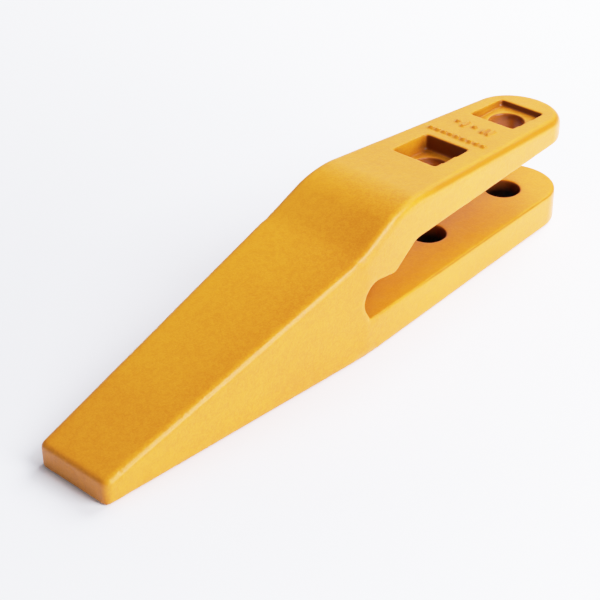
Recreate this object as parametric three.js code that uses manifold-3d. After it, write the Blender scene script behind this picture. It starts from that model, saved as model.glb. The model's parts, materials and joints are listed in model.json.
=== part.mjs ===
// Bolt-on excavator bucket tooth: one steel casting with a chisel wedge at the front
// and two straps at the rear that clamp the bucket's lip between them.
//
// Millimetres. +X runs from the digging tip to the strap ends, +Y across the tooth, +Z up.
// The origin is in the middle of the tooth's length and width, on its flat underside.

import * as THREE from 'three';
import { mergeVertices } from 'three/addons/utils/BufferGeometryUtils.js';
import Module from 'manifold-3d';

const wasm = await Module();
wasm.setup();

// ---- Driving dimensions ----------------------------------------------------------

const toothLength = 377;
const tipX = -toothLength / 2;
const strapEndX = toothLength / 2;

// Bolt pattern: 3/4 in square-head bolts, one behind the other on the centre line.
const frontBoltX = 82;
const boltSpacing = 72;
const boltXs = [frontBoltX, frontBoltX + boltSpacing];
const boltHoleDiameter = 20.8;
const headPocketSide = 30;
const headPocketFloors = [64.8, 65.9];

// Widths (half widths, measured from the centre line).
const tipHalfWidth = 24.6;
const widestX = -12.4;
const widestHalfWidth = 35.4;
const strapEndHalfWidth = 27;
const strapEndRound = 26;
const tipCornerRadius = 4;
const widestBlendRadius = 60;

// Heights of the outside of the casting.
const tipThickness = 14;
const wedgeSlope = 0.28;
const shoulderSlope = 0.48;
const kneeX = -14.7;
const strapTopAtFrontBolt = 75.2;
const strapTopSlope = -0.063;
const kneeRadius = 60;
const crownRadius = 54;
const tipTopEdgeRadius = 3;
const tipBottomEdgeRadius = 1.2;

// The mouth between the straps, which takes the lip of the bucket.
const upperStrapUnderside = { atFrontBolt: 53.5, slope: 0.015 };
const lowerStrapTop = { atFrontBolt: 21.5, slope: -0.0085 };
const rampFootX = 11.5;
const rampFootZ = 40.4;
const rampSlope = 0.6475;
const rampFootRadius = 5;
const rampHeadRadius = 8;
const mouthRoot = { x: -3, z: 32.4, radius: 10.4 };
const mouthRootTopAngle = THREE.MathUtils.degToRad(74);
const mouthOverrun = 30;

const curveSegments = 10;

// ---- Outline helpers --------------------------------------------------------------

/** Straight sides from corner to corner, each rounded to its radius (0 leaves it sharp). */
function roundedSides(corners) {
  const shape = new THREE.Shape();
  corners.forEach(({ point, radius = 0 }, index) => {
    const previous = corners[(index + corners.length - 1) % corners.length].point;
    const next = corners[(index + 1) % corners.length].point;
    const toPrevious = previous.clone().sub(point).normalize();
    const toNext = next.clone().sub(point).normalize();
    const halfAngle = Math.acos(toPrevious.dot(toNext)) / 2;
    const tangent = radius / Math.tan(halfAngle);
    const start = point.clone().addScaledVector(toPrevious, tangent);
    const end = point.clone().addScaledVector(toNext, tangent);
    if (index === 0) {
      shape.moveTo(start.x, start.y);
    } else {
      shape.lineTo(start.x, start.y);
    }
    if (radius > 0) {
      const inward = toPrevious.clone().add(toNext).normalize();
      const centre = point.clone().addScaledVector(inward, radius / Math.sin(halfAngle));
      const startAngle = Math.atan2(start.y - centre.y, start.x - centre.x);
      const endAngle = Math.atan2(end.y - centre.y, end.x - centre.x);
      const clockwise = toPrevious.cross(toNext) > 0;
      shape.absarc(centre.x, centre.y, radius, startAngle, endAngle, clockwise);
    }
  });
  return shape;
}

/** A closed outline of straight sides with rounded corners. */
function roundedOutline(corners) {
  const outline = roundedSides(corners);
  outline.closePath();
  return outline;
}

/** Height of a straight line that is given at the front bolt. */
function lineAt({ atFrontBolt, slope }, x) {
  return atFrontBolt + slope * (x - frontBoltX);
}

/** Where two lines z = z0 + slope (x - x0) cross. */
function crossing(first, second) {
  const x = (second.z0 - first.z0 + first.slope * first.x0 - second.slope * second.x0)
    / (first.slope - second.slope);
  return new THREE.Vector2(x, first.z0 + first.slope * (x - first.x0));
}

// ---- Solids -----------------------------------------------------------------------

/** A manifold solid from a closed three.js geometry. */
function solid(geometry) {
  geometry.deleteAttribute('normal');
  geometry.deleteAttribute('uv');
  const merged = mergeVertices(geometry, 1e-4);
  return new wasm.Manifold(new wasm.Mesh({
    numProp: 3,
    vertProperties: new Float32Array(merged.attributes.position.array),
    triVerts: new Uint32Array(merged.index.array),
  }));
}

/** A three.js geometry from a manifold solid, with flat faces. */
function geometryOf(manifold) {
  const mesh = manifold.getMesh();
  const geometry = new THREE.BufferGeometry();
  geometry.setAttribute('position', new THREE.BufferAttribute(mesh.vertProperties, 3));
  geometry.setIndex(new THREE.BufferAttribute(mesh.triVerts, 1));
  geometry.computeVertexNormals();
  return geometry;
}

/** A side outline (x, z) carried straight across the tooth, centred on y = 0. */
function acrossTooth(shape, width) {
  const geometry = new THREE.ExtrudeGeometry(shape, { depth: width, bevelEnabled: false, curveSegments });
  geometry.rotateX(Math.PI / 2);
  geometry.translate(0, width / 2, 0);
  return solid(geometry);
}

/** A plan outline (x, y) carried straight up from z = bottom. */
function upright(shape, bottom, height) {
  const geometry = new THREE.ExtrudeGeometry(shape, { depth: height, bevelEnabled: false, curveSegments });
  geometry.translate(0, 0, bottom);
  return solid(geometry);
}

// ---- The casting ------------------------------------------------------------------

const blockWidth = 100;
const blockHeight = 120;

/** The side view: flat underside, wedge, shoulder, and the sloping top of the upper strap. */
function sideOutline() {
  const wedge = { x0: tipX, z0: tipThickness, slope: wedgeSlope };
  const knee = new THREE.Vector2(kneeX, tipThickness + wedgeSlope * (kneeX - tipX));
  const shoulder = { x0: knee.x, z0: knee.y, slope: shoulderSlope };
  const strapTop = { x0: frontBoltX, z0: strapTopAtFrontBolt, slope: strapTopSlope };
  const crown = crossing(shoulder, strapTop);
  const strapEndZ = strapTop.z0 + strapTop.slope * (strapEndX - strapTop.x0);
  return roundedOutline([
    { point: new THREE.Vector2(tipX, 0), radius: tipBottomEdgeRadius },
    { point: new THREE.Vector2(strapEndX, 0) },
    { point: new THREE.Vector2(strapEndX, strapEndZ) },
    { point: crown, radius: crownRadius },
    { point: knee, radius: kneeRadius },
    { point: new THREE.Vector2(wedge.x0, wedge.z0), radius: tipTopEdgeRadius },
  ]);
}

/** The plan view: it widens from the tip to the mouth, then narrows to round strap ends. */
function planOutline() {
  const endCentreX = strapEndX - strapEndRound;
  const outline = roundedSides([
    { point: new THREE.Vector2(endCentreX, strapEndHalfWidth) },
    { point: new THREE.Vector2(widestX, widestHalfWidth), radius: widestBlendRadius },
    { point: new THREE.Vector2(tipX, tipHalfWidth), radius: tipCornerRadius },
    { point: new THREE.Vector2(tipX, -tipHalfWidth), radius: tipCornerRadius },
    { point: new THREE.Vector2(widestX, -widestHalfWidth), radius: widestBlendRadius },
    { point: new THREE.Vector2(endCentreX, -strapEndHalfWidth) },
  ]);
  outline.absellipse(
    endCentreX, 0, strapEndRound, strapEndHalfWidth, -Math.PI / 2, Math.PI / 2, false, 0,
  );
  outline.closePath();
  return outline;
}

/** The mouth: parallel-sided at the rear, a ramp in its roof, and a round root at the front. */
function mouthOutline() {
  const openX = strapEndX + mouthOverrun;
  const ramp = { x0: rampFootX, z0: rampFootZ, slope: rampSlope };
  const roof = {
    x0: frontBoltX,
    z0: upperStrapUnderside.atFrontBolt,
    slope: upperStrapUnderside.slope,
  };
  const rampHead = crossing(ramp, roof);
  const rootTop = new THREE.Vector2(
    mouthRoot.x + mouthRoot.radius * Math.cos(mouthRootTopAngle),
    mouthRoot.z + mouthRoot.radius * Math.sin(mouthRootTopAngle),
  );
  return roundedOutline([
    { point: new THREE.Vector2(mouthRoot.x, lineAt(lowerStrapTop, mouthRoot.x)) },
    { point: new THREE.Vector2(openX, lineAt(lowerStrapTop, openX)) },
    { point: new THREE.Vector2(openX, lineAt(upperStrapUnderside, openX)) },
    { point: rampHead, radius: rampHeadRadius },
    { point: new THREE.Vector2(rampFootX, rampFootZ), radius: rampFootRadius },
    { point: rootTop },
    { point: new THREE.Vector2(mouthRoot.x, mouthRoot.z) },
  ]);
}

/** The round root of the mouth, cut off where it would dip below the lower strap's top. */
function mouthRootRound() {
  const round = new THREE.CylinderGeometry(mouthRoot.radius, mouthRoot.radius, blockWidth, 4 * curveSegments);
  round.translate(mouthRoot.x, 0, mouthRoot.z);
  const floorHeight = lineAt(lowerStrapTop, mouthRoot.x);
  const aboveFloor = new THREE.BoxGeometry(4 * mouthRoot.radius, blockWidth, blockHeight);
  aboveFloor.translate(mouthRoot.x, 0, floorHeight + blockHeight / 2);
  return solid(round).intersect(solid(aboveFloor));
}

/** A round bolt hole through both straps and the square pocket for its head on top. */
function boltCut(x, pocketFloor) {
  const hole = new THREE.CylinderGeometry(
    boltHoleDiameter / 2, boltHoleDiameter / 2, 2 * blockHeight, 6 * curveSegments,
  );
  hole.rotateX(Math.PI / 2);
  hole.translate(x, 0, 0);
  const pocket = new THREE.BoxGeometry(headPocketSide, headPocketSide, blockHeight);
  pocket.translate(x, 0, pocketFloor + blockHeight / 2);
  return solid(hole).add(solid(pocket));
}

function toothCasting() {
  let casting = acrossTooth(sideOutline(), blockWidth);
  casting = casting.intersect(upright(planOutline(), -blockHeight / 2, 2 * blockHeight));
  casting = casting.subtract(acrossTooth(mouthOutline(), blockWidth));
  casting = casting.subtract(mouthRootRound());
  boltXs.forEach((x, index) => {
    casting = casting.subtract(boltCut(x, headPocketFloors[index]));
  });
  return geometryOf(casting);
}

const castingPaint = new THREE.MeshStandardMaterial({
  color: 0xe3a02c,
  roughness: 0.55,
  metalness: 0.0,
});

const tooth = new THREE.Group();
const casting = new THREE.Mesh(toothCasting(), castingPaint);
casting.name = 'tooth_casting';
tooth.add(casting);

export default tooth;
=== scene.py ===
import json
import math

import bmesh
import bpy
from mathutils import Matrix, Vector, noise


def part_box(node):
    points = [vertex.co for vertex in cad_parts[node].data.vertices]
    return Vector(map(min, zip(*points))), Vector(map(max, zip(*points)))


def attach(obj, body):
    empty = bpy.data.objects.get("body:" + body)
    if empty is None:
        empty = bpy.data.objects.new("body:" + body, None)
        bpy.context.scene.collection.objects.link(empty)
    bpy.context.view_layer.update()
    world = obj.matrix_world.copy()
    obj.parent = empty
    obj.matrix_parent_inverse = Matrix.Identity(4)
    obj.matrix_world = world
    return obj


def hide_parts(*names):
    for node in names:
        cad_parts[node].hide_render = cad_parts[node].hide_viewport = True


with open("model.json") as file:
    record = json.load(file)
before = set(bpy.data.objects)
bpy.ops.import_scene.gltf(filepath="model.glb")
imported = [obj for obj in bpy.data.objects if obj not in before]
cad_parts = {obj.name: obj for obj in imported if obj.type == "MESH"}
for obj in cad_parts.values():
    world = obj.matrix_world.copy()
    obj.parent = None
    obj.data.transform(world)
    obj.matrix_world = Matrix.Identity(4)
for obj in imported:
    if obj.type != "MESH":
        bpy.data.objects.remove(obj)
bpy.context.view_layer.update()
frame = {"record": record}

# Lengths in this script are in millimetres, in the frame of the CAD part, and MM turns them into metres.
MM = 0.001

# ---- Sizes of the casting ------------------------------------------------------------

record = frame["record"]
openings = {opening["name"]: opening["box_m"] for opening in record["physics"]["openings"]}
mounts = {mount["name"]: mount["pos_m"] for mount in record["mounts"]}
casting_low, casting_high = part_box("tooth_casting")

TIP_X = casting_low.x / MM
STRAP_END_X = casting_high.x / MM
WIDEST_HALF = casting_high.y / MM


def middle_x(box):
    """Middle of an opening's box along the tooth, in millimetres."""
    return (box[0][0] + box[1][0]) / 2 / MM


BOLT_X = [middle_x(openings["front_bolt_way"]), middle_x(openings["rear_bolt_way"])]
POCKET_FLOOR = [mounts["bolt_head_seat_front"][2] / MM, mounts["bolt_head_seat_rear"][2] / MM]
BOLT_HOLE_RADIUS = 10.4
UPPER_HOLE_RADII = (9.0, 10.0)
POCKET_SIDE = 30.0
POCKET_CORNER = 1.6

WIDEST_X = -12.4
TIP_HALF = 24.6
STRAP_END_HALF = 27.0
STRAP_END_ROUND = 26.0
STRAP_ROUND_X = STRAP_END_X - STRAP_END_ROUND
FLARE_LENGTH = 9.0

TIP_THICKNESS = 14.0
WEDGE_SLOPE = 0.28
SHOULDER_SLOPE = 0.48
KNEE_X = -14.7
STRAP_TOP_AT_BOLT = 75.2
STRAP_TOP_SLOPE = -0.063
KNEE_RADIUS = 60.0
CROWN_RADIUS = 54.0
TIP_TOP_RADIUS = 3.0
TIP_BOTTOM_RADIUS = 1.2
TIP_CORNER_RADIUS = 4.0

TOP_EDGE_RADIUS = 5.0
WEDGE_EDGE_RADIUS = 3.2
WEDGE_EDGE_END = 3.0
BOTTOM_EDGE_RADIUS = 2.2
MOUTH_EDGE_RADIUS = 1.4
SHORTEST_EDGE = 0.45

UPPER_UNDERSIDE_AT_BOLT = 53.5
UPPER_UNDERSIDE_SLOPE = 0.015
LOWER_TOP_AT_BOLT = 21.5
LOWER_TOP_SLOPE = -0.0085
RAMP_FOOT = (11.5, 40.4)
RAMP_SLOPE = 0.6475
RAMP_FOOT_RADIUS = 5.0
RAMP_HEAD_RADIUS = 8.0
ROOT_CENTRE = (-3.0, 32.4)
ROOT_RADIUS = 10.4
ROOT_START = math.radians(74)
ROOT_END = math.radians(222)
ROOT_CORNER_X = -9.6
MOUTH_FRONT_X = ROOT_CENTRE[0] - ROOT_RADIUS - 1
MOUTH_LOW = LOWER_TOP_AT_BOLT - 2
MOUTH_HIGH = UPPER_UNDERSIDE_AT_BOLT + 3
MOUTH_MIDDLE = (MOUTH_LOW + MOUTH_HIGH) / 2

OVERRUN = 30.0
BLOCK_HALF = 60.0


# ---- Bench tools ---------------------------------------------------------------------

def piece_from(bm, name):
    """Turns a bmesh in millimetres into an object at the origin, still in millimetres."""
    bmesh.ops.recalc_face_normals(bm, faces=bm.faces)
    mesh = bpy.data.meshes.new(name)
    bm.to_mesh(mesh)
    bm.free()
    piece = bpy.data.objects.new(name, mesh)
    bpy.context.scene.collection.objects.link(piece)
    return piece


def side_plate(outline, bm=None):
    """A bmesh plate: a side outline of (x, z) corners, carried across the whole width.

    A bmesh that already holds the first stretch of the outline may be given to start from.
    """
    bm = bm or bmesh.new()
    for x, z in outline:
        bm.verts.new((x, -BLOCK_HALF, z))
    face = bm.faces.new(bm.verts[:])
    swept = bmesh.ops.extrude_face_region(bm, geom=[face])
    moved = [item for item in swept["geom"] if isinstance(item, bmesh.types.BMVert)]
    bmesh.ops.translate(bm, verts=moved, vec=(0, 2 * BLOCK_HALF, 0))
    return bm


def cross_edges(bm, x, z):
    """The edges that run straight across the plate at one corner of its side outline."""
    return [
        edge for edge in bm.edges
        if all(math.hypot(v.co.x - x, v.co.z - z) < 0.01 for v in edge.verts)
    ]


def round_edges(bm, edges, radius, turn, segments):
    """Rounds edges to a radius, where the surface turns by an angle at them."""
    bmesh.ops.bevel(
        bm, geom=edges, offset=radius * math.tan(turn / 2), offset_type="OFFSET",
        affect="EDGES", segments=segments, profile=0.5, material=-1, clamp_overlap=True,
    )


def line_cross(first, second):
    """Where two lines given as (x0, z0, slope) cross."""
    x = (second[1] - first[1] + first[2] * first[0] - second[2] * second[0]) / (first[2] - second[2])
    return x, first[1] + first[2] * (x - first[0])


def apply_modifiers(piece):
    """Makes a piece's modifiers part of its mesh."""
    evaluated = piece.evaluated_get(bpy.context.evaluated_depsgraph_get())
    finished = bpy.data.meshes.new_from_object(evaluated)
    piece.modifiers.clear()
    spent = piece.data
    piece.data = finished
    bpy.data.meshes.remove(spent)


def combine(piece, tool, operation):
    """Cuts or trims a piece with a tool, and throws the tool away."""
    boolean = piece.modifiers.new("cut", "BOOLEAN")
    boolean.operation = operation
    boolean.solver = "EXACT"
    boolean.object = tool
    apply_modifiers(piece)
    bpy.data.objects.remove(tool)


# ---- The casting's rough shape -------------------------------------------------------

def side_view_block():
    """Flat underside, wedge, shoulder and the sloping top of the upper strap."""
    knee = (KNEE_X, TIP_THICKNESS + WEDGE_SLOPE * (KNEE_X - TIP_X))
    shoulder = (*knee, SHOULDER_SLOPE)
    strap_top = (BOLT_X[0], STRAP_TOP_AT_BOLT, STRAP_TOP_SLOPE)
    crown = line_cross(shoulder, strap_top)
    rear_x = STRAP_END_X + OVERRUN
    rear_z = STRAP_TOP_AT_BOLT + STRAP_TOP_SLOPE * (rear_x - BOLT_X[0])
    bm = side_plate([
        (TIP_X, 0), (rear_x, 0), (rear_x, rear_z), crown, knee, (TIP_X, TIP_THICKNESS),
    ])
    wedge_angle = math.atan(WEDGE_SLOPE)
    shoulder_angle = math.atan(SHOULDER_SLOPE)
    strap_angle = math.atan(STRAP_TOP_SLOPE)
    round_edges(bm, cross_edges(bm, *crown), CROWN_RADIUS, shoulder_angle - strap_angle, 14)
    round_edges(bm, cross_edges(bm, *knee), KNEE_RADIUS, shoulder_angle - wedge_angle, 6)
    return piece_from(bm, "side_view_block")


def plan_view_block():
    """Plan of the tooth: a round strap end, widening to the mouth and narrowing to the tip."""
    bm = bmesh.new()
    bmesh.ops.create_circle(bm, cap_ends=True, segments=96, radius=1.0)
    bmesh.ops.scale(bm, verts=bm.verts, vec=(STRAP_END_ROUND, STRAP_END_HALF, 1))
    bmesh.ops.translate(bm, verts=bm.verts, vec=(STRAP_ROUND_X, 0, -BLOCK_HALF))
    everything = [*bm.verts, *bm.edges, *bm.faces]
    bmesh.ops.bisect_plane(
        bm, geom=everything, plane_co=(STRAP_ROUND_X, 0, 0), plane_no=(1, 0, 0), clear_inner=True,
    )
    front_slope = (WIDEST_HALF - TIP_HALF) / (WIDEST_X - TIP_X)
    stations = [
        (WIDEST_X, WIDEST_HALF),
        (TIP_X - OVERRUN, TIP_HALF - front_slope * OVERRUN),
    ]
    chord = [edge for edge in bm.edges
             if all(abs(v.co.x - STRAP_ROUND_X) < 0.01 for v in edge.verts)]
    for x, half in stations:
        grown = bmesh.ops.extrude_edge_only(bm, edges=chord)["geom"]
        ends = [item for item in grown if isinstance(item, bmesh.types.BMVert)]
        chord = [item for item in grown
                 if isinstance(item, bmesh.types.BMEdge) and all(v in ends for v in item.verts)]
        for vert in ends:
            vert.co.x = x
            vert.co.y = math.copysign(half, vert.co.y)
    swept = bmesh.ops.extrude_face_region(bm, geom=bm.faces[:])
    moved = [item for item in swept["geom"] if isinstance(item, bmesh.types.BMVert)]
    bmesh.ops.translate(bm, verts=moved, vec=(0, 0, 4 * BLOCK_HALF))
    return piece_from(bm, "plan_view_block")


def is_wall(face):
    """Whether a face belongs to the upright walls that follow the plan view."""
    middle = face.calc_center_median()
    reach = POCKET_SIDE / 2 + 0.5
    by_a_bolt = any(abs(middle.x - x) < reach and abs(middle.y) < reach for x in BOLT_X)
    if by_a_bolt or abs(face.normal.z) > 0.02:
        return False
    return abs(face.normal.y) > 0.5 or middle.x > STRAP_ROUND_X


def edge_radius(edge):
    """The cast-in radius of one edge of the tooth, or 0 for an edge that stays as it is."""
    first, second = edge.link_faces
    low = all(vert.co.z < 0.1 for vert in edge.verts)
    at_tip = all(vert.co.x < TIP_X + 0.1 for vert in edge.verts)
    at_mouth = all(
        MOUTH_LOW < vert.co.z < MOUTH_HIGH and vert.co.x > MOUTH_FRONT_X for vert in edge.verts
    )
    if is_wall(first) != is_wall(second):
        if at_tip:
            return TIP_CORNER_RADIUS
        if at_mouth:
            return MOUTH_EDGE_RADIUS
        if low:
            return BOTTOM_EDGE_RADIUS
        on_wedge = all(vert.co.x < KNEE_X - WEDGE_EDGE_END for vert in edge.verts)
        return WEDGE_EDGE_RADIUS if on_wedge else TOP_EDGE_RADIUS
    if at_tip and edge.calc_face_angle() > 0.5:
        return TIP_BOTTOM_RADIUS if low else TIP_TOP_RADIUS
    return 0.0


def underside_faces(bm):
    """The flat faces the tooth lies on."""
    return [face for face in bm.faces if face.normal.z < -0.99 and face.calc_center_median().z < 0.1]


def divide_underside(bm):
    """Parts the underside straight across at the bolt axes, so that no face runs round a hole."""
    for x in BOLT_X:
        faces = underside_faces(bm)
        edges = {edge for face in faces for edge in face.edges}
        verts = {vert for face in faces for vert in face.verts}
        bmesh.ops.bisect_plane(
            bm, geom=[*verts, *edges, *faces], plane_co=(x, 0, 0), plane_no=(1, 0, 0),
        )
    faces = underside_faces(bm)
    spare = [
        edge for edge in bm.edges
        if len(edge.link_faces) == 2 and all(face in faces for face in edge.link_faces)
        and not any(all(abs(vert.co.x - x) < 0.01 for vert in edge.verts) for x in BOLT_X)
    ]
    bmesh.ops.dissolve_edges(bm, edges=spare, use_verts=False)


def round_cast_edges(piece):
    """Gives every edge of the rough tooth its cast-in radius."""
    bm = bmesh.new()
    bm.from_mesh(piece.data)
    bmesh.ops.remove_doubles(bm, verts=bm.verts, dist=SHORTEST_EDGE)
    bm.normal_update()
    divide_underside(bm)
    bm.normal_update()
    weight = bm.edges.layers.float.new("bevel_weight_edge")
    for edge in bm.edges:
        edge[weight] = edge_radius(edge) / TOP_EDGE_RADIUS
    bm.to_mesh(piece.data)
    bm.free()
    rounding = piece.modifiers.new("rounding", "BEVEL")
    rounding.limit_method = "WEIGHT"
    rounding.offset_type = "OFFSET"
    rounding.width = TOP_EDGE_RADIUS
    rounding.segments = 7
    rounding.profile = 0.5
    rounding.use_clamp_overlap = False
    apply_modifiers(piece)


def mouth_block():
    """The space between the straps: a round root, a ramp in the roof, and flat lip seats."""
    def lower(x):
        return LOWER_TOP_AT_BOLT + LOWER_TOP_SLOPE * (x - BOLT_X[0])

    def upper(x):
        return UPPER_UNDERSIDE_AT_BOLT + UPPER_UNDERSIDE_SLOPE * (x - BOLT_X[0])

    root_x, root_z = ROOT_CENTRE
    root_top = (
        root_x + ROOT_RADIUS * math.cos(ROOT_START), root_z + ROOT_RADIUS * math.sin(ROOT_START),
    )
    bm = bmesh.new()
    start = bm.verts.new((root_top[0], -BLOCK_HALF, root_top[1]))
    bmesh.ops.spin(
        bm, geom=[start], cent=(root_x, -BLOCK_HALF, root_z), axis=(0, -1, 0),
        angle=ROOT_END - ROOT_START, steps=28,
    )
    open_x = STRAP_END_X + OVERRUN
    ramp = (*RAMP_FOOT, RAMP_SLOPE)
    head = line_cross(ramp, (BOLT_X[0], UPPER_UNDERSIDE_AT_BOLT, UPPER_UNDERSIDE_SLOPE))
    side_plate([
        (ROOT_CORNER_X, lower(ROOT_CORNER_X)), (open_x, lower(open_x)), (open_x, upper(open_x)),
        head, RAMP_FOOT,
    ], bm)
    ramp_angle = math.atan(RAMP_SLOPE)
    head_turn = ramp_angle - math.atan(UPPER_UNDERSIDE_SLOPE)
    round_edges(bm, cross_edges(bm, *head), RAMP_HEAD_RADIUS, head_turn, 5)
    foot_slope = (root_top[1] - RAMP_FOOT[1]) / (root_top[0] - RAMP_FOOT[0])
    foot_turn = ramp_angle - math.atan(foot_slope)
    round_edges(bm, cross_edges(bm, *RAMP_FOOT), RAMP_FOOT_RADIUS, foot_turn, 5)
    return piece_from(bm, "mouth_block")


def bolt_hole_block(x, low, high, radii):
    """A cored hole, upright, from one height to another, with a radius at each end."""
    bm = bmesh.new()
    bmesh.ops.create_cone(
        bm, cap_ends=True, segments=72, radius1=radii[0], radius2=radii[1],
        depth=high - low, matrix=Matrix.Translation((x, 0, (low + high) / 2)),
    )
    return piece_from(bm, "bolt_hole_block")


def head_pocket_block(x, floor_z):
    """A square pocket for a bolt head, open at the top of the upper strap."""
    bm = bmesh.new()
    bmesh.ops.create_cube(bm, size=1.0)
    bmesh.ops.scale(bm, verts=bm.verts, vec=(POCKET_SIDE, POCKET_SIDE, BLOCK_HALF))
    bmesh.ops.translate(bm, verts=bm.verts, vec=(x, 0, floor_z + BLOCK_HALF / 2))
    upright = [edge for edge in bm.edges
               if abs(edge.verts[0].co.z - edge.verts[1].co.z) > BLOCK_HALF / 2]
    round_edges(bm, upright, POCKET_CORNER, math.pi / 2, 4)
    return piece_from(bm, "head_pocket_block")


# ---- The cast surface ----------------------------------------------------------------

VOXEL = 0.75
SKIN_TRIANGLES = 190000
SKIN_SMOOTHING = 3
FLARE_SMOOTHING = 30

# Each layer of the sand-cast surface: size of its bumps across, its depth, and its seed.
SAND_LAYERS = [(42.0, 0.10, 3.0), (11.0, 0.04, 11.0)]
CHIP_SIZE = 3.2
CHIP_DEPTH = 0.75
CHIP_THRESHOLD = 0.52

MARK_HEIGHT = 1.25
MARK_SHOULDER = 0.35
SMALL_MARKS_X = BOLT_X[0] + 24.3
SMALL_MARK_COUNT = 9
SMALL_MARK_PITCH = 4.6
LARGE_MARKS_X = BOLT_X[1] - 30.0


def raised_marks():
    """Generic raised marks between the pockets, each as (x, y, half length, half width).

    A row of short dashes stands by the front pocket, and two dots and three bars by the rear one.
    """
    marks = []
    for index in range(SMALL_MARK_COUNT):
        y = (index - (SMALL_MARK_COUNT - 1) / 2) * SMALL_MARK_PITCH
        marks.append((SMALL_MARKS_X, y, 1.3, 1.5))
    for y, half_length, half_width in (
            (13.0, 1.2, 1.2), (7.5, 4.0, 0.9), (1.0, 1.2, 1.2), (-6.5, 4.0, 0.9), (-10.5, 4.0, 0.9)):
        marks.append((LARGE_MARKS_X, y, half_length, half_width))
    return marks


def mark_height(x, y, marks):
    """How far the surface is raised at (x, y) by the marks."""
    height = 0.0
    for mark_x, mark_y, half_length, half_width in marks:
        outside = max(abs(x - mark_x) - half_length, abs(y - mark_y) - half_width)
        if outside < MARK_SHOULDER:
            height = max(height, MARK_HEIGHT * min(1.0, (MARK_SHOULDER - outside) / (2 * MARK_SHOULDER)))
    return height


def sand_depth(place):
    """How deep the cast skin lies below the smooth shape at one place; never above it."""
    depth = 0.0
    for size, strength, seed in SAND_LAYERS:
        ripple = noise.noise(place / size + Vector((seed, seed, seed)))
        depth += strength * (1 + ripple)
    return depth


def edge_wear(vert, normal):
    """Small knocks along the sharp outer corners of the wedge."""
    corner = min(abs(normal.y), abs(normal.z))
    if corner < 0.35 or vert.co.x > KNEE_X:
        return 0.0
    knock = noise.noise(vert.co / CHIP_SIZE + Vector((5.0, 1.0, 8.0)))
    return CHIP_DEPTH * max(0.0, knock - CHIP_THRESHOLD)


def smooth_skin(bm):
    """Evens out the skin, and blends the front half of each side wall into the rear half."""
    flare = [vert for vert in bm.verts if abs(vert.co.x - WIDEST_X) < FLARE_LENGTH
             and abs(vert.co.y) > WIDEST_HALF - 1]
    for verts, passes in ((bm.verts, SKIN_SMOOTHING), (flare, FLARE_SMOOTHING)):
        for _ in range(passes):
            bmesh.ops.smooth_vert(
                bm, verts=verts, factor=0.5, use_axis_x=True, use_axis_y=True, use_axis_z=True,
            )


def cast_relief(bm):
    """Gives the skin its sand-cast unevenness, its raised marks and its knocks."""
    marks = raised_marks()
    bm.normal_update()
    moves = []
    for vert in bm.verts:
        lift = -sand_depth(vert.co) - edge_wear(vert, vert.normal)
        if vert.normal.z > 0.9 and vert.co.x > BOLT_X[0] and vert.co.z > UPPER_UNDERSIDE_AT_BOLT + 6:
            lift += mark_height(vert.co.x, vert.co.y, marks)
        moves.append(vert.normal * lift)
    for vert, move in zip(bm.verts, moves):
        vert.co += move


def cast_skin(piece):
    """Closes the rough shape into one even skin with a cast surface."""
    skin = piece.modifiers.new("skin", "REMESH")
    skin.mode = "VOXEL"
    skin.voxel_size = VOXEL
    skin.use_smooth_shade = True
    apply_modifiers(piece)
    bm = bmesh.new()
    bm.from_mesh(piece.data)
    smooth_skin(bm)
    cast_relief(bm)
    bm.to_mesh(piece.data)
    bm.free()
    thinning = piece.modifiers.new("thinning", "DECIMATE")
    thinning.ratio = SKIN_TRIANGLES / (2 * len(piece.data.polygons))
    apply_modifiers(piece)
    for vert in piece.data.vertices:
        vert.co.z = max(vert.co.z, 0)


def tooth_casting():
    """One steel casting: wedge, shoulder and two straps around the mouth."""
    piece = side_view_block()
    piece.name = "tooth_casting_skin"
    combine(piece, plan_view_block(), "INTERSECT")
    combine(piece, mouth_block(), "DIFFERENCE")
    for x, floor_z in zip(BOLT_X, POCKET_FLOOR):
        lower_hole = bolt_hole_block(x, -OVERRUN, MOUTH_MIDDLE, (BOLT_HOLE_RADIUS, BOLT_HOLE_RADIUS))
        upper_hole = bolt_hole_block(x, MOUTH_MIDDLE, floor_z + 1, UPPER_HOLE_RADII)
        for tool in (lower_hole, upper_hole, head_pocket_block(x, floor_z)):
            combine(piece, tool, "DIFFERENCE")
    round_cast_edges(piece)
    cast_skin(piece)
    piece.data.transform(Matrix.Scale(MM, 4))
    return piece


# ---- Paint ---------------------------------------------------------------------------

PAINT_DEEP = (0.50, 0.154, 0.0045, 1)
PAINT_LIGHT = (0.665, 0.241, 0.0105, 1)
# Painted shade inside the cored holes: brown, turning to black low in the lower strap.
BORE_BROWN = (0.20, 0.045, 0.006, 1)
BORE_BLACK = (0.004, 0.001, 0.0005, 1)
BORE_DARKENS = (13.0, 20.5)
UPPER_BORE_SHARE = 0.65
# Painted shade in inner corners, pockets and the root of the mouth, driven by ambient occlusion.
CORNER_BROWN = (0.10, 0.014, 0.0005, 1)
CORNER_REACH = 14.0
CORNER_SHADE = (0.32, 0.92)
# Painted shade on the straps' rounded top edges.
EDGE_YELLOW = (0.42, 0.122, 0.001, 1)
EDGE_TILT = ((0.2, 0.5), (0.8, 0.97))
EDGE_STARTS = (28.0, 50.0)
# Painted shade on the pocket walls that face the tip.
POCKET_BROWN = (0.12, 0.020, 0.002, 1)
POCKET_WALL_FACING = (-0.9, -0.5)
POCKET_WALL_FROM = (61.0, 63.0)
BORE_EDGE = (10.6, 11.1)
# Where and how strongly the painted light and shade drifts across the wedge and shoulder.
SHADE_DRIFT_GROWS = (TIP_X + 10, TIP_X + 90)
SHADE_DRIFT_FADES = (5, 45)
SHADE_DRIFT_RANGE = (-0.3, 0.62)


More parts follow.
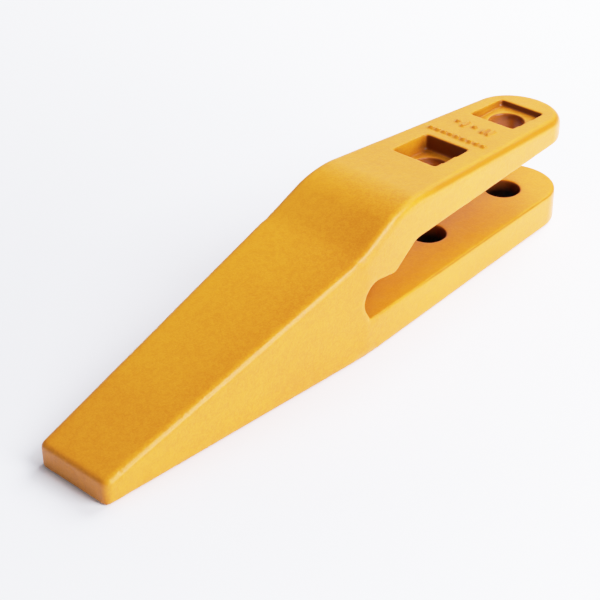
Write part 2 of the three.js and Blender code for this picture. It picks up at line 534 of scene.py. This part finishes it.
def add_node(tree, kind, **settings):
    """Adds one node to a material, with its settings and the values of its sockets by name."""
    node = tree.nodes.new(kind)
    for name, value in settings.items():
        if hasattr(node, name):
            setattr(node, name, value)
        else:
            node.inputs[name.replace("_", " ")].default_value = value
    return node


def noise_field(tree, place, size, detail, rough):
    """A noise pattern whose bumps are a given size across, in millimetres."""
    field = add_node(tree, "ShaderNodeTexNoise", Scale=1 / (size * MM), Detail=detail, Roughness=rough)
    tree.links.new(place, field.inputs["Vector"])
    return field.outputs["Fac"]


def spread(tree, value, low, high, start=0.3, stop=0.7):
    """Maps the middle range of a noise pattern onto a wanted range."""
    node = add_node(tree, "ShaderNodeMapRange", From_Min=start, From_Max=stop, To_Min=low, To_Max=high)
    tree.links.new(value, node.inputs["Value"])
    return node.outputs["Result"]


def combine_values(tree, operation, first, second):
    """One math step on two values, each a socket or a number."""
    node = add_node(tree, "ShaderNodeMath", operation=operation)
    for socket, value in zip(node.inputs, (first, second)):
        if isinstance(value, (int, float)):
            socket.default_value = value
        else:
            tree.links.new(value, socket)
    return node.outputs["Value"]


def mixed_colour(tree, factor, first, second):
    """Blends a colour socket with a second colour, fixed or a socket, by a factor socket."""
    mix = add_node(tree, "ShaderNodeMix", data_type="RGBA")
    layers = [socket for socket in mix.inputs if socket.type == "RGBA"]
    tree.links.new(factor, mix.inputs["Factor"])
    tree.links.new(first, layers[0])
    if isinstance(second, tuple):
        layers[1].default_value = second
    else:
        tree.links.new(second, layers[1])
    return [socket for socket in mix.outputs if socket.type == "RGBA"][0]


def painted_corner_shade(tree, paint):
    """Deepens the paint in inner corners, pockets and the root of the mouth: painted shade."""
    hollow = add_node(
        tree, "ShaderNodeAmbientOcclusion", samples=8, only_local=True, Distance=CORNER_REACH * MM,
    )
    depth = spread(tree, hollow.outputs["AO"], 1, 0, *CORNER_SHADE)
    return mixed_colour(tree, depth, paint, CORNER_BROWN)


def painted_edge_shade(tree, along, paint):
    """Deepens the yellow on the straps' rounded edges: painted shade that tones down how brightly the
    lamps light them.
    """
    split = add_node(tree, "ShaderNodeSeparateXYZ")
    tree.links.new(add_node(tree, "ShaderNodeTexCoord").outputs["Normal"], split.inputs["Vector"])
    off_wall = spread(tree, split.outputs["Z"], 0, 1, *EDGE_TILT[0])
    off_top = spread(tree, split.outputs["Z"], 1, 0, *EDGE_TILT[1])
    on_straps = spread(tree, along, 0, 1, *(x * MM for x in EDGE_STARTS))
    on_edge = combine_values(tree, "MULTIPLY", off_wall, off_top)
    return mixed_colour(tree, combine_values(tree, "MULTIPLY", on_edge, on_straps), paint, EDGE_YELLOW)


def painted_pocket_wall_shade(tree, height, paint):
    """Deepens the paint on the pocket walls that face the tip: painted shade."""
    split = add_node(tree, "ShaderNodeSeparateXYZ")
    tree.links.new(add_node(tree, "ShaderNodeTexCoord").outputs["Normal"], split.inputs["Vector"])
    facing = spread(tree, split.outputs["X"], 1, 0, *POCKET_WALL_FACING)
    above = spread(tree, height, 0, 1, *(z * MM for z in POCKET_WALL_FROM))
    return mixed_colour(tree, combine_values(tree, "MULTIPLY", facing, above), paint, POCKET_BROWN)


def painted_bore_shade(tree, place, height, paint):
    """Paints shade into the cored holes: brown at part strength in the upper strap, brown to black down
    the lower strap.
    """
    colour = paint
    share = spread(tree, height, 1, UPPER_BORE_SHARE, MOUTH_LOW * MM, MOUTH_MIDDLE * MM)
    deep = spread(tree, height, 1, 0, *(z * MM for z in BORE_DARKENS))
    brown = add_node(tree, "ShaderNodeRGB")
    brown.outputs["Color"].default_value = BORE_BROWN
    shaded_bore_colour = mixed_colour(tree, deep, brown.outputs["Color"], BORE_BLACK)
    for x in BOLT_X:
        flat = add_node(tree, "ShaderNodeVectorMath", operation="MULTIPLY")
        flat.inputs[1].default_value = (1, 1, 0)
        tree.links.new(place, flat.inputs[0])
        reach = add_node(tree, "ShaderNodeVectorMath", operation="DISTANCE")
        reach.inputs[1].default_value = (x * MM, 0, 0)
        tree.links.new(flat.outputs[0], reach.inputs[0])
        start, stop = (edge * MM for edge in BORE_EDGE)
        inside = spread(tree, reach.outputs["Value"], 1, 0, start, stop)
        inside = combine_values(tree, "MULTIPLY", inside, share)
        colour = mixed_colour(tree, inside, colour, shaded_bore_colour)
    return colour


def painted_light_shade_drift(tree, place):
    """Painted light and shade over the wedge and shoulder: lighter on the far side, deeper on the near.
    """
    split = add_node(tree, "ShaderNodeSeparateXYZ")
    tree.links.new(place, split.inputs["Vector"])
    from_tip = spread(tree, split.outputs["X"], 0, 1, *(x * MM for x in SHADE_DRIFT_GROWS))
    to_strap = spread(tree, split.outputs["X"], 1, 0, *(x * MM for x in SHADE_DRIFT_FADES))
    across = spread(tree, split.outputs["Y"], *SHADE_DRIFT_RANGE, -WIDEST_HALF * MM, WIDEST_HALF * MM)
    along = combine_values(tree, "MULTIPLY", from_tip, to_strap)
    return combine_values(tree, "MULTIPLY", along, across)


def cast_yellow_paint():
    """Sprayed yellow paint over a sand casting: mottled, grainy, satin; with painted shade in corners,
    on the strap edges, on the pocket walls and in the holes, and painted light and shade across the
    wedge.
    """
    material = bpy.data.materials.new("cast_yellow_paint")
    material.use_nodes = True
    tree = material.node_tree
    shader = tree.nodes["Principled BSDF"]
    shader.inputs["Specular IOR Level"].default_value = 0.32
    place = add_node(tree, "ShaderNodeTexCoord").outputs["Object"]

    cloud = noise_field(tree, place, 46, 3, 0.55)
    mottle = noise_field(tree, place, 3.4, 4, 0.6)
    grain = noise_field(tree, place, 1.1, 3, 0.6)

    shade = combine_values(
        tree, "ADD", spread(tree, cloud, -0.14, 0.14), spread(tree, mottle, 0.41, 0.59, 0.46, 0.54),
    )
    shade = combine_values(tree, "ADD", shade, spread(tree, grain, -0.12, 0.12, 0.45, 0.55))
    # Adds painted light and shade: lighter on the far side of the wedge, deeper on the near side.
    shade = combine_values(tree, "ADD", shade, painted_light_shade_drift(tree, place))
    colour = add_node(tree, "ShaderNodeMix", data_type="RGBA", clamp_factor=True)
    mixed = [socket for socket in colour.inputs if socket.type == "RGBA"]
    mixed[0].default_value = PAINT_DEEP
    mixed[1].default_value = PAINT_LIGHT
    tree.links.new(shade, colour.inputs["Factor"])
    result = [socket for socket in colour.outputs if socket.type == "RGBA"][0]
    split = add_node(tree, "ShaderNodeSeparateXYZ")
    tree.links.new(place, split.inputs["Vector"])
    height = split.outputs["Z"]
    # Painted shade on the straps' rounded top edges.
    result = painted_edge_shade(tree, split.outputs["X"], result)
    # Painted shade in the inner corners, pockets and mouth root.
    result = painted_corner_shade(tree, result)
    # Painted shade on the pocket walls that face the tip.
    result = painted_pocket_wall_shade(tree, height, result)
    # Painted shade inside the cored holes.
    tree.links.new(painted_bore_shade(tree, place, height, result), shader.inputs["Base Color"])

    tree.links.new(spread(tree, mottle, 0.30, 0.325, 0.46, 0.54), shader.inputs["Roughness"])

    bump = add_node(tree, "ShaderNodeBump", Strength=0.45, Distance=0.25 * MM)
    height = combine_values(tree, "ADD", mottle, combine_values(tree, "MULTIPLY", grain, 0.6))
    tree.links.new(height, bump.inputs["Height"])
    tree.links.new(bump.outputs["Normal"], shader.inputs["Normal"])
    return material


# ---- Studio --------------------------------------------------------------------------

LAMP_TARGET = (0, 0, 30)
SKY_GLOW = 0.28
HORIZON_GLOW = 0.6
HORIZON_BAND = (0.0, 0.06)
TABLE_GLOW = 1.6
TABLE_GLOW_START = 0.15
TABLE_GLOW_END = 1.6
SHOULDER_START = 0.53
SHOULDER_SLOPE_DOWN = 0.62
BRIGHTEST = 4.0
CURVE_LEVELS = (0.25, 0.5, 0.6, 0.75, 0.95, 1.2, 1.5, 1.9, 2.4, 3.1)

def camera():
    """The camera, above the near side of the tip, with a long lens."""
    azimuth, elevation, roll = (math.radians(value) for value in (-47.05, 32.78, -0.91))
    back = Vector((
        math.sin(azimuth) * math.cos(elevation), -math.cos(azimuth) * math.cos(elevation),
        math.sin(elevation),
    ))
    level = Vector((math.cos(azimuth), math.sin(azimuth), 0))
    upward = back.cross(level)
    right = math.cos(roll) * level + math.sin(roll) * upward
    up = math.cos(roll) * upward - math.sin(roll) * level
    data = bpy.data.cameras.new("camera")
    data.lens = 95.86
    data.sensor_width = 36.0
    view = bpy.data.objects.new("camera", data)
    place = Matrix((right, up, back)).transposed().to_4x4()
    place.translation = Vector((-549.8, -486.8, 488.1)) * MM
    view.matrix_world = place
    bpy.context.scene.collection.objects.link(view)
    bpy.context.scene.camera = view


def softbox(name, place, size, power):
    """A soft square lamp at a place, turned towards the casting, all in millimetres."""
    data = bpy.data.lights.new(name, "AREA")
    data.size = size * MM
    data.energy = power
    lamp = bpy.data.objects.new(name, data)
    place, target = Vector(place) * MM, Vector(LAMP_TARGET) * MM
    lamp.matrix_world = (
        Matrix.Translation(place) @ (place - target).to_track_quat("Z", "Y").to_matrix().to_4x4()
    )
    bpy.context.scene.collection.objects.link(lamp)
    return lamp


def studio():
    """Soft lamps on the near side and behind the straps, under a dim even sky."""
    world = bpy.data.worlds.new("studio")
    world.use_nodes = True
    tree = world.node_tree
    tree.nodes["Background"].inputs["Color"].default_value = (0.95, 0.97, 1, 1)
    split = add_node(tree, "ShaderNodeSeparateXYZ")
    tree.links.new(add_node(tree, "ShaderNodeTexCoord").outputs["Generated"], split.inputs["Vector"])
    glow = spread(tree, split.outputs["Z"], HORIZON_GLOW, SKY_GLOW, *HORIZON_BAND)
    tree.links.new(glow, tree.nodes["Background"].inputs["Strength"])
    bpy.context.scene.world = world
    rear = softbox("rear_softbox", (850, 0, 850), 700, 20)
    rear.visible_glossy = False
    softbox("far_softbox", (890, 600, 590), 700, 1.4)
    softbox("near_softbox", (200, -900, 900), 700, 22)
    softbox("low_softbox", (100, -1000, 150), 500, 12)


def shoulder(level):
    """Film-like response: even up to SHOULDER_START, then an ever slower rise to white."""
    if level < SHOULDER_START:
        return level
    room = 1 - SHOULDER_START
    return SHOULDER_START + room * (1 - math.exp((SHOULDER_START - level) / room * SHOULDER_SLOPE_DOWN))


def film_response():
    """Sets the scene's colour view: the plain transform after a soft highlight shoulder."""
    view = bpy.context.scene.view_settings
    view.view_transform = "Standard"
    view.use_curve_mapping = True
    view.curve_mapping.white_level = (BRIGHTEST, BRIGHTEST, BRIGHTEST)
    curve = view.curve_mapping.curves[3]
    curve.points[-1].location = (1, shoulder(BRIGHTEST))
    for level in CURVE_LEVELS:
        point = curve.points.new(level / BRIGHTEST, shoulder(level))
        point.handle_type = "AUTO_CLAMPED" if level > SHOULDER_START else "VECTOR"
    view.curve_mapping.update()


def floor():
    """A plain pale table top that runs out into a bright backdrop."""
    bm = bmesh.new()
    bmesh.ops.create_grid(bm, x_segments=1, y_segments=1, size=20.0)
    mesh = bpy.data.meshes.new("floor")
    bm.to_mesh(mesh)
    bm.free()
    plane = bpy.data.objects.new("floor", mesh)
    bpy.context.scene.collection.objects.link(plane)
    material = bpy.data.materials.new("pale_floor")
    material.use_nodes = True
    shader = material.node_tree.nodes["Principled BSDF"]
    shader.inputs["Base Color"].default_value = (0.87, 0.885, 0.975, 1)
    shader.inputs["Roughness"].default_value = 0.9
    shader.inputs["Specular IOR Level"].default_value = 0.2
    shader.inputs["Emission Color"].default_value = (0.93, 0.955, 1, 1)
    tree = material.node_tree
    away = add_node(tree, "ShaderNodeVectorMath", operation="LENGTH")
    tree.links.new(add_node(tree, "ShaderNodeTexCoord").outputs["Object"], away.inputs[0])
    glow = spread(tree, away.outputs["Value"], 0, TABLE_GLOW, TABLE_GLOW_START, TABLE_GLOW_END)
    tree.links.new(glow, shader.inputs["Emission Strength"])
    plane.data.materials.append(material)


camera()
casting = tooth_casting()
casting.data.materials.clear()
casting.data.materials.append(cast_yellow_paint())
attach(casting, "root")
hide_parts("tooth_casting")
floor()
studio()
film_response()
